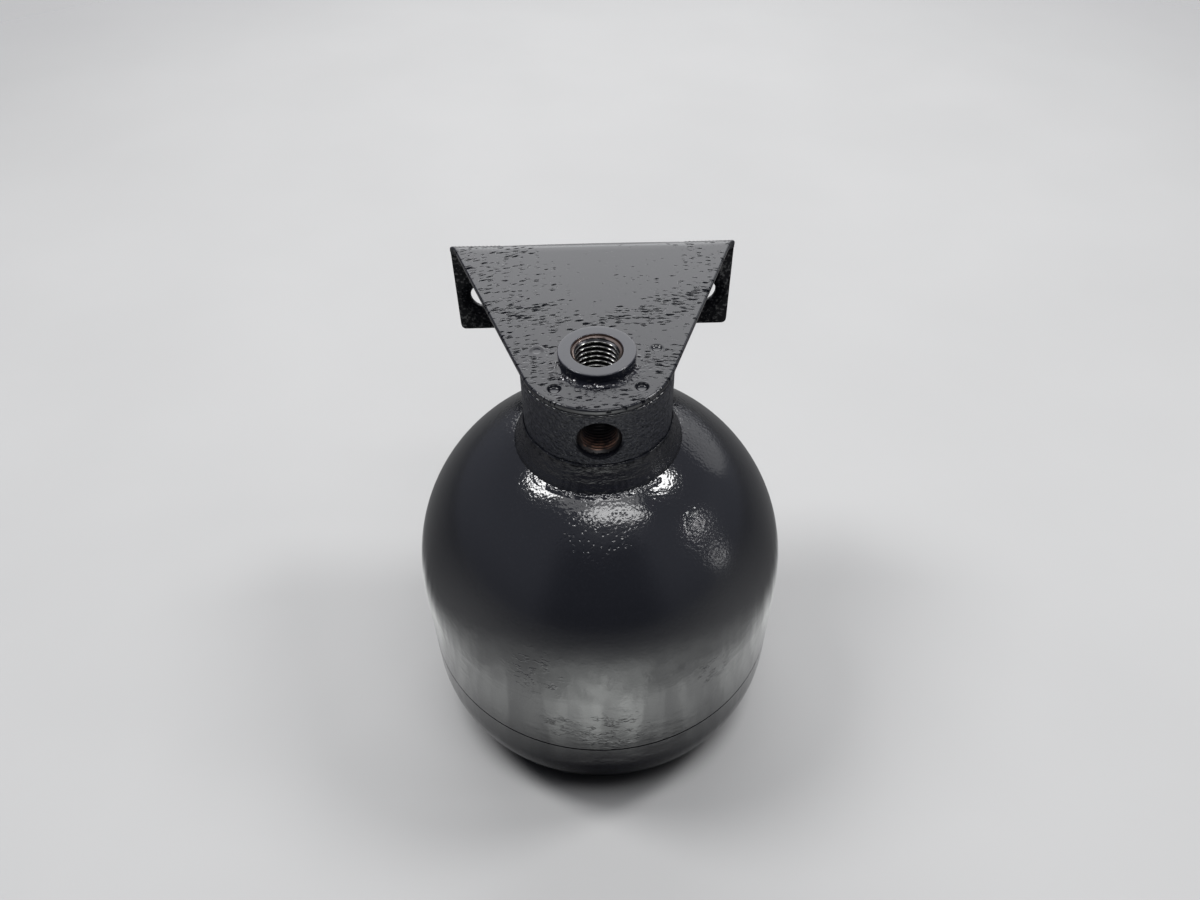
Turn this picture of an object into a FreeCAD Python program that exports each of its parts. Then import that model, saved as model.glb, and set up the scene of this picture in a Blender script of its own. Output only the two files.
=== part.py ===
import FreeCAD, Part
import math
import os

# A gas-charged suspension sphere: two drawn steel shells welded at a girth seam, a turned port block
# welded in the crown, a bent bracket projection-welded onto the block, and a rubber diaphragm inside.
#
# Frame: millimetres. +Z runs up the axis of the sphere, and out of the top port. The side port faces -Y
# and the bracket's bolt flange faces +Y. The origin is where the axes of the two ports cross.

# Vessel shells
shell_radius = 52.75
shell_wall = 3.0
upper_skirt = 24.0
lower_skirt = 9.0
knuckle_radius = 30.0
recess_rim_radius = 17.5
recess_floor_radius = 14.0
recess_depth = 4.0
recess_rim_fillet = 4.0
recess_root_fillet = 1.5
seam_width = 0.6
seam_groove_depth = 0.35

# Port block
neck_radius = 19.1
block_top_above_ports = 7.5
neck_length = 20.0
block_edge_radius = 0.4
boss_radius = 9.5
boss_height = 4.8
boss_edge_radius = 0.6
spigot_radius = 14.0
spigot_clearance = 0.05
seat_stand_out = 2.4
seat_edge_radius = 0.8

# Top port, tapped M12 x 1.5: the modelled wall is the tapping drill's
top_tap_radius = 5.25
top_mouth_radius = 6.3
top_port_depth = 14.8

# Side port, tapped M10 x 1
side_tap_radius = 4.5
side_mouth_radius = 5.9
side_mouth_half_angle = 30.0
side_port_depth = 10.1

# Oil drillings
drill_point_half_angle = 59.0
main_drilling_radius = 3.0
side_drilling_radius = 2.0

# Weld bead round the neck
bead_leg_up = 4.65
bead_leg_out = 4.1
bead_bulge = 0.6
bead_root_gap = 1.0

# Bracket
sheet = 2.0
weld_gap = 0.3
boss_hole_clearance = 1.0
side_angle = 20.5
flange_half_width = 40.9
flange_face_y = 54.7
flange_drop = 30.0
bend_inner_radius = 2.0
flange_corner_radius = 1.6
bolt_hole_radius = 4.25
bolt_spacing = 65.0
bolt_drop = 18.0
bolt_seat_radius = 7.0
bolt_seat_depth = 0.2

# Projection welds: a punched dimple above, a flattened nugget below
weld_inset = 3.9
weld_angle_front = 43.0
weld_angle_rear = 102.5
dimple_radius = 1.4
dimple_depth = 0.9
nugget_radius = 2.2

# Diaphragm and its clamp ring
diaphragm_wall = 2.0
diaphragm_clearance = 0.3
diaphragm_bead_height = 4.2
hub_radius = 12.0
hub_height = 5.0
hub_edge_radius = 1.2
ring_clearance = 0.05
ring_wall = 5.0
ring_below_seam = 6.0
ring_above_seam = 3.0
ring_lip_wall = 1.5
ring_lip_clearance = 0.1
ring_edge_radius = 0.6

# Closing button, which shuts the oil drilling when the oil side is empty
button_radius = 11.0
button_head_height = 2.5
button_edge_radius = 0.8
button_stem_radius = 3.0
button_stem_clearance = 0.05
button_anchor_radius = 6.0
button_anchor_height = 1.6
button_anchor_edge_radius = 0.5

# Gas filling bush, its screw and seal
bush_radius = 8.0
bush_clearance = 0.05
bush_stand_out = 1.0
bush_inside_height = 8.0
bush_edge_radius = 0.5
collar_radius = 11.0
collar_height = 3.0
gas_passage_radius = 1.0
screw_radius = 4.0
screw_clearance = 0.05
screw_shank_length = 7.0
screw_tip_room = 0.4
screw_tip_radius = 0.5
head_radius = 6.0
head_height = 2.4
head_clearance = 0.3
head_sink = 0.2
head_edge_radius = 0.3
socket_across_flats = 5.0
socket_depth = 1.8
seal_height = 1.0
seal_clearance = 0.1

# Heights and radii that follow from the sizes above
shoulder_z = block_top_above_ports - neck_length
dome_centre_z = shoulder_z - math.sqrt(shell_radius**2 - spigot_radius**2)
dome_top_z = dome_centre_z + shell_radius
inner_radius = shell_radius - shell_wall
seat_z = dome_centre_z + math.sqrt(inner_radius**2 - spigot_radius**2) - seat_stand_out
seam_z = dome_centre_z - upper_skirt
base_z = seam_z - lower_skirt - knuckle_radius
recess_z = base_z + recess_depth
boss_top_z = block_top_above_ports + boss_height
plate_bottom_z = block_top_above_ports + weld_gap
plate_top_z = plate_bottom_z + sheet
flange_bottom_z = plate_top_z - flange_drop
weld_circle_radius = neck_radius - weld_inset
crown_z = seat_z - button_head_height
hub_bottom_z = crown_z - hub_height
ring_radius = inner_radius - ring_clearance
ring_inner_radius = ring_radius - ring_wall
lip_radius = ring_inner_radius + ring_lip_wall
ring_step_z = seam_z + ring_above_seam
bush_bottom_z = recess_z - bush_stand_out
collar_bottom_z = recess_z + shell_wall
head_bottom_z = bush_bottom_z + head_sink
head_top_z = head_bottom_z + head_height
seal_top_z = head_top_z + seal_height

origin = FreeCAD.Vector(0, 0, 0)
up = FreeCAD.Vector(0, 0, 1)
front = FreeCAD.Vector(0, -1, 0)


def unit(start, end):
    """The direction from one profile point to another."""
    length = math.hypot(end[0] - start[0], end[1] - start[1])
    return (end[0] - start[0]) / length, (end[1] - start[1]) / length


def rounded_edges(corners, closed, place):
    """Edges through corners (a, b, radius), with an arc of that radius at each one.

    place turns a point (a, b) of the flat drawing into a point in space.
    """
    count = len(corners)
    ends = corners[0][:2], corners[-1][:2]
    turning = range(1, count - 1)
    if closed:
        middle = [(ends[0][i] + ends[1][i]) / 2 for i in (0, 1)]
        ends = middle, middle
        turning = range(count)
    edges = []
    here = place(*ends[0])
    for i in turning:
        a, b, radius = corners[i]
        back = unit((a, b), corners[i - 1])
        ahead = unit((a, b), corners[(i + 1) % count])
        half = math.acos(back[0] * ahead[0] + back[1] * ahead[1]) / 2
        reach = radius / math.tan(half)
        first = place(a + back[0] * reach, b + back[1] * reach)
        if (first - here).Length > 1e-6:
            edges.append(Part.makeLine(here, first))
        here = first
        if radius > 0:
            inward = unit((0, 0), (back[0] + ahead[0], back[1] + ahead[1]))
            depth = radius / math.sin(half) - radius
            last = place(a + ahead[0] * reach, b + ahead[1] * reach)
            halfway = place(a + inward[0] * depth, b + inward[1] * depth)
            edges.append(Part.Arc(first, halfway, last).toShape())
            here = last
    end = place(*ends[1])
    if (end - here).Length > 1e-6:
        edges.append(Part.makeLine(here, end))
    return edges


def beside_axis(r, z):
    """A point of a turned profile, r out from the axis at height z."""
    return FreeCAD.Vector(r, 0, z)


def across(y, z):
    """A point of a section on the plane of symmetry."""
    return FreeCAD.Vector(0, y, z)


def turned(corners):
    """A solid turned about Z from a closed profile of corners (r, z, radius)."""
    wire = Part.Wire(rounded_edges(corners, True, beside_axis))
    return Part.Face(wire).revolve(origin, up, 360)


def inset(corners, wall):
    """The same run of corners moved one wall thickness to the left of its direction of travel."""
    moved = []
    last = len(corners) - 1
    for i, (a, b, radius) in enumerate(corners):
        arriving = unit(corners[max(i, 1) - 1], corners[max(i, 1)])
        leaving = unit(corners[min(i, last - 1)], corners[min(i, last - 1) + 1])
        share = wall / (1 + arriving[0] * leaving[0] + arriving[1] * leaving[1])
        turn = arriving[0] * leaving[1] - arriving[1] * leaving[0]
        new_radius = radius
        if radius > 0:
            new_radius = radius - math.copysign(wall, turn)
        new_a = a - (arriving[1] + leaving[1]) * share
        new_b = b + (arriving[0] + leaving[0]) * share
        moved.append((new_a, new_b, new_radius))
    return moved


def sheet_face(corners, wall, place):
    """The section of a formed sheet: one side runs through corners, the other lies a wall to the left."""
    other = inset(corners, wall)
    near = rounded_edges(corners, False, place)
    far = rounded_edges(list(reversed(other)), False, place)
    join = Part.makeLine(place(*corners[-1][:2]), place(*other[-1][:2]))
    close = Part.makeLine(place(*other[0][:2]), place(*corners[0][:2]))
    return Part.Face(Part.Wire(near + [join] + far + [close]))


def turned_sheet(corners, wall):
    """A sheet of even wall turned about Z."""
    return sheet_face(corners, wall, beside_axis).revolve(origin, up, 360)


def rod(radius, bottom, top):
    """A cylinder on the axis from one height to another."""
    return Part.makeCylinder(radius, top - bottom, FreeCAD.Vector(0, 0, bottom))


def seam_band(outer_radius):
    """The band that the girth weld fills, out to a radius."""
    bottom = seam_z - seam_width / 2
    top = seam_z + seam_width / 2
    return rod(outer_radius, bottom, top).cut(rod(inner_radius, bottom, top))


def upper_shell():
    """Deep-drawn half: a skirt and a hemisphere, pierced at the crown for the block's spigot."""
    path = [(shell_radius, seam_z, 0), (shell_radius, dome_top_z, shell_radius), (0, dome_top_z, 0)]
    hole = rod(spigot_radius + spigot_clearance, seam_z, dome_top_z + 1)
    return turned_sheet(path, shell_wall).cut(hole).cut(seam_band(shell_radius + 1))


def lower_shell():
    """Shallow half: a short skirt, a wide knuckle, and a flat standing ring round a raised centre."""
    path = [
        (0, recess_z, 0),
        (recess_floor_radius, recess_z, recess_root_fillet),
        (recess_rim_radius, base_z, recess_rim_fillet),
        (shell_radius, base_z, knuckle_radius),
        (shell_radius, seam_z, 0),
    ]
    hole = rod(bush_radius + bush_clearance, base_z, collar_bottom_z + 1)
    return turned_sheet(path, shell_wall).cut(hole).cut(seam_band(shell_radius + 1))


def girth_weld():
    """The narrow weld between the two halves, a little below their outer surface."""
    return seam_band(shell_radius - seam_groove_depth)


def solid_block():
    """The port block before drilling: boss, neck, shoulder on the dome, and spigot through the crown."""
    return turned([
        (0, seat_z, 0),
        (spigot_radius, seat_z, seat_edge_radius),
        (spigot_radius, shoulder_z, 0),
        (neck_radius, shoulder_z, 0),
        (neck_radius, block_top_above_ports, block_edge_radius),
        (boss_radius, block_top_above_ports, 0),
        (boss_radius, boss_top_z, boss_edge_radius),
        (0, boss_top_z, 0),
    ])


def top_port():
    """The space of the top port: a 45 degree mouth, the tapping drill's wall and its point."""
    floor_z = boss_top_z - top_port_depth
    point_z = floor_z - top_tap_radius / math.tan(math.radians(drill_point_half_angle))
    mouth_z = boss_top_z - (top_mouth_radius - top_tap_radius)
    return turned([
        (0, point_z, 0),
        (top_tap_radius, floor_z, 0),
        (top_tap_radius, mouth_z, 0),
        (top_mouth_radius + 1, boss_top_z + 1, 0),
        (0, boss_top_z + 1, 0),
    ])


def side_port():
    """The space of the side port: a steep conical mouth, the tapping drill's wall and its point."""
    floor = neck_radius - side_port_depth
    point = side_tap_radius / math.tan(math.radians(drill_point_half_angle))
    slope = math.tan(math.radians(side_mouth_half_angle))
    mouth = neck_radius - (side_mouth_radius - side_tap_radius) / slope
    outside = neck_radius + 1
    wall = Part.makeCylinder(side_tap_radius, outside - floor, front * floor, front)
    flare = Part.makeCone(
        side_tap_radius, side_tap_radius + (outside - mouth) * slope, outside - mouth, front * mouth, front
    )
    tip = Part.makeCone(0, side_tap_radius, point, front * (floor - point), front)
    return wall.fuse([flare, tip])


def port_block():
    """The turned block with both ports and the drillings that join them to the oil side."""
    floor_z = boss_top_z - top_port_depth
    main_drilling = rod(main_drilling_radius, seat_z - 1, floor_z)
    side_drilling = Part.makeCylinder(side_drilling_radius, neck_radius - side_port_depth, origin, front)
    return solid_block().cut([top_port(), side_port(), main_drilling, side_drilling])


def neck_weld_bead():
    """The fillet of weld between the neck and the dome, with its root under the block's shoulder."""
    start = (neck_radius, shoulder_z + bead_leg_up)
    toe_radius = neck_radius + bead_leg_out
    toe = (toe_radius, dome_centre_z + math.sqrt(shell_radius**2 - toe_radius**2))
    slope = unit(start, toe)
    halfway = (
        (start[0] + toe[0]) / 2 - slope[1] * bead_bulge,
        (start[1] + toe[1]) / 2 + slope[0] * bead_bulge,
    )
    root_radius = spigot_radius + bead_root_gap
    points = [toe, (root_radius, toe[1] - 1), (root_radius, start[1]), start]
    edges = [Part.Arc(beside_axis(*start), beside_axis(*halfway), beside_axis(*toe)).toShape()]
    edges += [Part.makeLine(beside_axis(*a), beside_axis(*b)) for a, b in zip(points, points[1:])]
    bead = Part.Face(Part.Wire(edges)).revolve(origin, up, 360)
    filled_dome = Part.makeSphere(shell_radius, FreeCAD.Vector(0, 0, dome_centre_z))
    return bead.cut([solid_block(), filled_dome])


def plate_outline():
    """Plan of the bracket: an arc flush with the neck, sides tangent to it, then the flange's ends."""
    lean = math.radians(side_angle)
    bend_y = flange_face_y - sheet - bend_inner_radius
    tangent = (neck_radius * math.cos(lean), -neck_radius * math.sin(lean))
    at_bend = neck_radius / math.cos(lean) + bend_y * math.tan(lean)
    side = [tangent, (at_bend, bend_y), (flange_half_width, flange_face_y - sheet),
            (flange_half_width, flange_face_y)]
    right = [FreeCAD.Vector(x, y, 0) for x, y in side]
    left = [FreeCAD.Vector(-x, y, 0) for x, y in reversed(side)]
    run = right + left
    edges = [Part.makeLine(a, b) for a, b in zip(run, run[1:])]
    edges.append(Part.Arc(left[-1], front * neck_radius, right[0]).toShape())
    return Part.Face(Part.Wire(edges))


def weld_places():
    """Name and position of each projection weld, by its angle from the front."""
    places = {}
    for row, angle in (("front", weld_angle_front), ("rear", weld_angle_rear)):
        for side, sign in (("left", -1), ("right", 1)):
            turn = math.radians(angle)
            x = sign * weld_circle_radius * math.sin(turn)
            y = -weld_circle_radius * math.cos(turn)
            places[f"projection_weld_{row}_{side}"] = (x, y)
    return places


def mounting_bracket():
    """One bent sheet: a tapering plate on the block and a bolt flange turned down behind it."""
    path = [
        (-neck_radius - 1, plate_bottom_z, 0),
        (flange_face_y - sheet, plate_bottom_z, bend_inner_radius),
        (flange_face_y - sheet, flange_bottom_z, 0),
    ]
    section = sheet_face(path, sheet, across)
    section.translate(FreeCAD.Vector(-flange_half_width, 0, 0))
    bent = section.extrude(FreeCAD.Vector(2 * flange_half_width, 0, 0))
    outline = plate_outline()
    outline.translate(FreeCAD.Vector(0, 0, flange_bottom_z))
    bracket = bent.common(outline.extrude(up * flange_drop))
    ends = []
    for edge in bracket.Edges:
        box = edge.BoundBox
        if box.XLength < 1e-6 and box.ZLength < 1e-6 and box.ZMin < flange_bottom_z + 1e-6:
            ends.append(edge)
    bracket = bracket.makeFillet(flange_corner_radius, ends)
    cuts = [rod(boss_radius + boss_hole_clearance, plate_bottom_z - 1, plate_top_z + 1)]
    for x, y in weld_places().values():
        cuts.append(Part.makeCylinder(
            dimple_radius, dimple_depth + 1, FreeCAD.Vector(x, y, plate_top_z - dimple_depth)
        ))
    bolt_z = plate_top_z - bolt_drop
    seat_y = flange_face_y - sheet + bolt_seat_depth
    for side in (-1, 1):
        x = side * bolt_spacing / 2
        cuts.append(Part.makeCylinder(
            bolt_hole_radius, 2 * sheet, FreeCAD.Vector(x, flange_face_y + 1, bolt_z), front
        ))
        cuts.append(Part.makeCylinder(bolt_seat_radius, 1, FreeCAD.Vector(x, seat_y, bolt_z), front))
    return bracket.cut(cuts)


def weld_nugget(x, y):
    """A flattened projection that holds the plate just clear of the block."""
    return Part.makeCylinder(nugget_radius, weld_gap, FreeCAD.Vector(x, y, block_top_above_ports))


def clamp_ring():
    """Steel ring inside the seam: its step and lip hold the diaphragm's bead against the shell."""
    bottom = seam_z - ring_below_seam
    lip_top = ring_step_z + diaphragm_bead_height
    return turned([
        (ring_inner_radius, bottom, ring_edge_radius),
        (ring_radius, bottom, ring_edge_radius),
        (ring_radius, ring_step_z, 0),
        (lip_radius, ring_step_z, 0),
        (lip_radius, lip_top, ring_edge_radius),
        (ring_inner_radius, lip_top, ring_edge_radius),
    ])


def diaphragm():
    """Moulded rubber bell: a clamped bead, an even wall along the shell, and a thick hub at the crown."""
    wall_radius = inner_radius - diaphragm_clearance
    shoulder = crown_z - dome_centre_z
    path = [(wall_radius, ring_step_z, 0), (wall_radius, crown_z, shoulder), (0, crown_z, 0)]
    bell = turned_sheet(path, diaphragm_wall)
    bead = turned([
        (lip_radius + ring_lip_clearance, ring_step_z, 0),
        (wall_radius, ring_step_z, 0),
        (wall_radius, ring_step_z + diaphragm_bead_height, 0),
        (lip_radius + ring_lip_clearance, ring_step_z + diaphragm_bead_height, ring_edge_radius),
    ])
    hub = turned([
        (0, hub_bottom_z, 0),
        (hub_radius, hub_bottom_z, hub_edge_radius),
        (hub_radius, crown_z - diaphragm_wall / 2, 0),
        (0, crown_z - diaphragm_wall / 2, 0),
    ])
    stem_hole = rod(button_stem_radius + button_stem_clearance, hub_bottom_z - 1, crown_z + 1)
    return bell.fuse([bead, hub]).removeSplitter().cut(stem_hole)


def closing_button():
    """Head, stem and anchor in one: it rides in the hub and seats on the block's end face."""
    anchor_z = hub_bottom_z - button_anchor_height
    return turned([
        (0, anchor_z, 0),
        (button_anchor_radius, anchor_z, button_anchor_edge_radius),
        (button_anchor_radius, hub_bottom_z, 0),
        (button_stem_radius, hub_bottom_z, 0),
        (button_stem_radius, crown_z, 0),
        (button_radius, crown_z, button_edge_radius),
        (button_radius, seat_z, button_edge_radius),
        (0, seat_z, 0),
    ])


def fill_bush():
    """Turned bush in the floor of the recess: shank, collar inside, tapped hole and gas passage."""
    top = collar_bottom_z + bush_inside_height
    collar_top = collar_bottom_z + collar_height
    body = turned([
        (0, bush_bottom_z, 0),
        (bush_radius, bush_bottom_z, bush_edge_radius),
        (bush_radius, collar_bottom_z, 0),
        (collar_radius, collar_bottom_z, 0),
        (collar_radius, collar_top, bush_edge_radius),
        (bush_radius, collar_top, 0),
        (bush_radius, top, bush_edge_radius),
        (0, top, 0),
    ])
    hole_top = head_top_z + screw_shank_length + screw_tip_room
    return body.cut([
        rod(head_radius + head_clearance, bush_bottom_z - 1, seal_top_z),
        rod(screw_radius + screw_clearance, bush_bottom_z, hole_top),
        rod(gas_passage_radius, bush_bottom_z, top + 1),
    ])


def fill_screw():
    """Gas filling screw: a low round head with a hexagon socket, and a plain shank for the thread."""
    body = turned([
        (0, head_bottom_z, 0),
        (head_radius, head_bottom_z, head_edge_radius),
        (head_radius, head_top_z, head_edge_radius),
        (screw_radius, head_top_z, 0),
        (screw_radius, head_top_z + screw_shank_length, screw_tip_radius),
        (0, head_top_z + screw_shank_length, 0),
    ])
    corner = socket_across_flats / math.sqrt(3)
    turns = [math.radians(60 * i) for i in range(7)]
    hexagon = [FreeCAD.Vector(corner * math.cos(t), corner * math.sin(t), head_bottom_z) for t in turns]
    socket = Part.Face(Part.makePolygon(hexagon)).extrude(up * socket_depth)
    return body.cut(socket)


def fill_screw_seal():
    """Flat ring under the screw's head."""
    hole = rod(screw_radius + seal_clearance, head_top_z, seal_top_z)
    return rod(head_radius, head_top_z, seal_top_z).cut(hole)


def export(name, shape):
    """Write one sub-part to its STEP file."""
    shape.exportStep(os.path.join("parts", name + ".step"))


os.makedirs("parts", exist_ok=True)
export("upper_shell", upper_shell())
export("lower_shell", lower_shell())
export("girth_weld", girth_weld())
export("port_block", port_block())
export("neck_weld_bead", neck_weld_bead())
export("mounting_bracket", mounting_bracket())
for weld_name, (weld_x, weld_y) in weld_places().items():
    export(weld_name, weld_nugget(weld_x, weld_y))
export("diaphragm", diaphragm())
export("diaphragm_clamp_ring", clamp_ring())
export("closing_button", closing_button())
export("gas_fill_bush", fill_bush())
export("gas_fill_screw", fill_screw())
export("fill_screw_seal", fill_screw_seal())
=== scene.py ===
"""Looks of the suspension sphere: black enamel over turned and pressed steel, and rubber inside."""
import logging
import math
from dataclasses import dataclass, field
from enum import Enum
from functools import cached_property, reduce
from typing import TypeAlias

import bpy
import numpy as np
from mathutils import Matrix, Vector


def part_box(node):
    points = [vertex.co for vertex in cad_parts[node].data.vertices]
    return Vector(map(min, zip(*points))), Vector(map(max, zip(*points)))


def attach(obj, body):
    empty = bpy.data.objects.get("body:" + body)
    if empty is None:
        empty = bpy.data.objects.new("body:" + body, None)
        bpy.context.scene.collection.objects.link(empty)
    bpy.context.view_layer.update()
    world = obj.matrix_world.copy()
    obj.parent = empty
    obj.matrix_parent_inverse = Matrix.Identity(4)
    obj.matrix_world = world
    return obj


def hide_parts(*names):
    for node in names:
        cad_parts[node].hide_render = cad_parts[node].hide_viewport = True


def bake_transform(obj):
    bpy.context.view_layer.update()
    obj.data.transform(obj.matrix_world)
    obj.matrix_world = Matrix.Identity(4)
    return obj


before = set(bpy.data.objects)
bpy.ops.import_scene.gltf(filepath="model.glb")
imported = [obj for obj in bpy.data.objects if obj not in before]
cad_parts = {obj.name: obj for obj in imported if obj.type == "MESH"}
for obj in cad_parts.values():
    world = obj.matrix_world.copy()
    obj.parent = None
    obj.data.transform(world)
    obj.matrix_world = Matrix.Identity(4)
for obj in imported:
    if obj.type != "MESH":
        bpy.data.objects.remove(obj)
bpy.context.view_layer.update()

MM = 0.001
PHOTO_WIDTH = 1200
PHOTO_FOCAL = 900.0
FLOOR_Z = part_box("lower_shell")[0][2]
NECK_RADIUS = 19.1 * MM
DOME_CENTRE = -63.36 * MM
PLATE_BOTTOM = 7.8 * MM
SHEET = 2.0 * MM
SAME_PLACE = 1e-9
LAMP_TARGET = (0.0, 0.0, -0.03)

log = logging.getLogger("suspension_sphere")

Pair: TypeAlias = tuple[float, float]
Point: TypeAlias = tuple[float, float, float]
Colour: TypeAlias = tuple[float, float, float, float]
Value: TypeAlias = "Socket | float"
Piece: TypeAlias = bpy.types.Object
Material: TypeAlias = bpy.types.Material


class Body(Enum):
    """The bodies that pieces ride on."""

    VESSEL = "vessel"
    BUTTON = "button"


class Slot(Enum):
    """The record's material slots of the pieces made here."""

    PAINT = "black_paint"
    RUBBER = "rubber"


# Shader maths


class Socket:
    """A node's output with arithmetic: an expression on it adds the Math nodes that it needs."""

    def __init__(self, nodes: "Nodes", output: bpy.types.NodeSocket) -> None:
        """Keep the output and the tree that it belongs to."""
        self.nodes = nodes
        self.output = output

    def _math(self, operation: str, *values: Value) -> "Socket":
        """One Math node on the values, in their order."""
        return self.nodes.add("Math", dict(enumerate(values)), operation=operation)

    def __add__(self, other: Value) -> "Socket":
        """Sum."""
        return self._math("ADD", self, other)

    def __sub__(self, other: Value) -> "Socket":
        """Difference."""
        return self._math("SUBTRACT", self, other)

    def __rsub__(self, other: float) -> "Socket":
        """Difference from a number."""
        return self._math("SUBTRACT", other, self)

    def __mul__(self, other: Value) -> "Socket":
        """Product."""
        return self._math("MULTIPLY", self, other)

    def __truediv__(self, other: Value) -> "Socket":
        """Quotient."""
        return self._math("DIVIDE", self, other)

    def __pow__(self, power: float) -> "Socket":
        """Power."""
        return self._math("POWER", self, power)

    def most(self, other: Value) -> "Socket":
        """The larger of the two."""
        return self._math("MAXIMUM", self, other)

    def size(self) -> "Socket":
        """Absolute value."""
        return self._math("ABSOLUTE", self)

    def step(self, low: float, high: float) -> "Socket":
        """A smooth step.

        Args:
            low: Where it is 0, and beyond.
            high: Where it is 1, and beyond; a fall where this lies below low.

        Returns:
            The step.
        """
        ends = (low, high, 0.0, 1.0) if low < high else (high, low, 1.0, 0.0)
        names = ("From Min", "From Max", "To Min", "To Max")
        inputs = {"Value": self, **dict(zip(names, ends))}
        return self.nodes.add("MapRange", inputs, interpolation_type="SMOOTHSTEP")

    def span(self, low: float, high: float) -> "Socket":
        """The same step with its ends in millimetres."""
        return self.step(low * MM, high * MM)

    def sibling(self, name: str) -> "Socket":
        """Another output of the same node."""
        return Socket(self.nodes, self.output.node.outputs[name])


class Nodes:
    """The node tree of a material or of the world, built by one method."""

    def __init__(self, name: str, world: bool = False) -> None:
        """Start a material, or a world, with an empty tree.

        Args:
            name: Its name.
            world: Whether it is a world.
        """
        self.end = "OutputWorld" if world else "OutputMaterial"
        self.material = (bpy.data.worlds if world else bpy.data.materials).new(name)
        self.material.use_nodes = True
        self.tree = self.material.node_tree
        self.tree.nodes.clear()

    def add(
        self, kind: str, inputs: dict | None = None, out: int | str | None = 0, **settings: str
    ) -> Socket | None:
        """Add a node.

        Args:
            kind: The node's type, without its first word, ShaderNode.
            inputs: Values or sockets by input name or number.
            out: Name or number of the output to return, or None at the end of a tree.
            **settings: Properties to set first.

        Returns:
            The chosen output.
        """
        node = self.tree.nodes.new("ShaderNode" + kind)
        for key, value in settings.items():
            setattr(node, key, value)
        for key, value in (inputs or {}).items():
            if isinstance(value, Socket):
                self.tree.links.new(value.output, node.inputs[key])
            else:
                node.inputs[key].default_value = value
        return None if out is None else Socket(self, node.outputs[out])

    @cached_property
    def place(self) -> Socket:
        """Object coordinates, which are the part's own frame in metres."""
        return self.add("TexCoord", out="Object")

    @cached_property
    def parts(self) -> tuple[Socket, Socket, Socket]:
        """The three numbers of the place."""
        return self.split(self.place)

    @cached_property
    def from_axis(self) -> Socket:
        """Distance from the part's upright axis."""
        return self.reach(*self.parts[:2])

    def reach(self, across: Socket, along: Socket) -> Socket:
        """Length of the two numbers as a vector."""
        return (across * across + along * along) ** 0.5

    def split(self, vector: Socket) -> tuple[Socket, Socket, Socket]:
        """The three numbers of a vector."""
        x = self.add("SeparateXYZ", {0: vector}, "X")
        return x, x.sibling("Y"), x.sibling("Z")

    def vector(self, x: Value, y: Value, z: Value = 0.0) -> Socket:
        """A vector from three numbers."""
        return self.add("CombineXYZ", {0: x, 1: y, 2: z})

    def noise(
        self, grain: float, detail: float = 2.0, rough: float = 0.5, at: Socket | None = None
    ) -> Socket:
        """Noise from 0 to 1.

        Args:
            grain: Size of its features, in millimetres.
            detail: Number of finer layers.
            rough: Strength of the finer layers.
            at: Where it is read, if not at the place.

        Returns:
            The noise.
        """
        inputs = {"Vector": at or self.place, "Scale": 1.0 / (grain * MM), "Detail": detail}
        return self.add("TexNoise", {**inputs, "Roughness": rough})

    def wander(self, width: float, *noise: float, at: Socket | None = None) -> Socket:
        """A length about zero from noise with these values, over a width in millimetres."""
        return (self.noise(*noise, at=at) - 0.5) * (width * MM)

    def cells(self, grain: float, at: Socket) -> tuple[Socket, Socket]:
        """Scattered points: distance to the nearest one, in grains, and its chance from 0 to 1."""
        away = self.add("TexVoronoi", {"Vector": at, "Scale": 1.0 / (grain * MM)}, "Distance")
        return away, self.split(away.sibling("Color"))[0]

    def stretched(self, x: float, y: float, z: float) -> Socket:
        """The place with each axis multiplied: a pattern is longer where the number is small."""
        return self.add("Mapping", {"Vector": self.place, "Scale": (x, y, z)})

    def mix(self, factor: Socket, dark: tuple | Socket, light: tuple | Socket) -> Socket:
        """A colour between two, by a factor."""
        return self.add("Mix", {"Factor": factor, 6: dark, 7: light}, 2, data_type="RGBA")

    def away(self, middle: Point, at: Socket | None = None) -> Socket:
        """Distance from a point."""
        inputs = {0: at or self.place, 1: middle}
        return self.add("VectorMath", inputs, "Value", operation="DISTANCE")

    def bump(self, height: Socket, depth: float, under: Socket | None = None) -> Socket:
        """A bumped normal.

        Args:
            height: Height from 0 to 1.
            depth: What a height of 1 stands for, in metres.
            under: A bumped normal that this one lies on.

        Returns:
            The normal.
        """
        inputs = {"Height": height, "Distance": depth, "Strength": 1.0}
        if under is not None:
            inputs["Normal"] = under
        return self.add("Bump", inputs)

    def add_output(self, shader: Socket) -> None:
        """Lead a shader to the surface output."""
        self.add(self.end, {"Surface": shader}, None)


# Finishes


Shader: TypeAlias = tuple[dict, Socket | None]
Layers: TypeAlias = tuple[Socket, Socket | None, list[tuple[Socket, float]]]


def tone(level: float, tint: float = 0.35) -> Colour:
    """A grey that leans to blue by the tint, or to brown where the tint is negative."""
    return (level * (1 - tint / 2), level * (1 - tint / 4), level * (1 + tint), 1.0)


@dataclass(frozen=True)
class Finish:
    """A finish made of one Principled shader.

    Attributes:
        name: The material's name.
    """

    name: str

    @cached_property
    def nodes(self) -> Nodes:
        """The tree of its material."""
        return Nodes(self.name)

    def shader(self) -> Shader:
        """What the shader is fed with.

        Returns:
            The inputs, and the share of matt black over them: painted shade, where light is lost in
            pits and creases.
        """
        raise NotImplementedError

    def material(self) -> Material:
        """The finish as a material.

        Returns:
            The material.
        """
        nodes = self.nodes
        inputs, hollow = self.shader()
        shader = nodes.add("BsdfPrincipled", inputs)
        if hollow is not None:
            # The matt black is painted shade.
            black = nodes.add("BsdfDiffuse", {"Color": tone(0.004)})
            shader = nodes.add("MixShader", {0: hollow, 1: shader, 2: black})
        nodes.add_output(shader)
        return nodes.material


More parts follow.
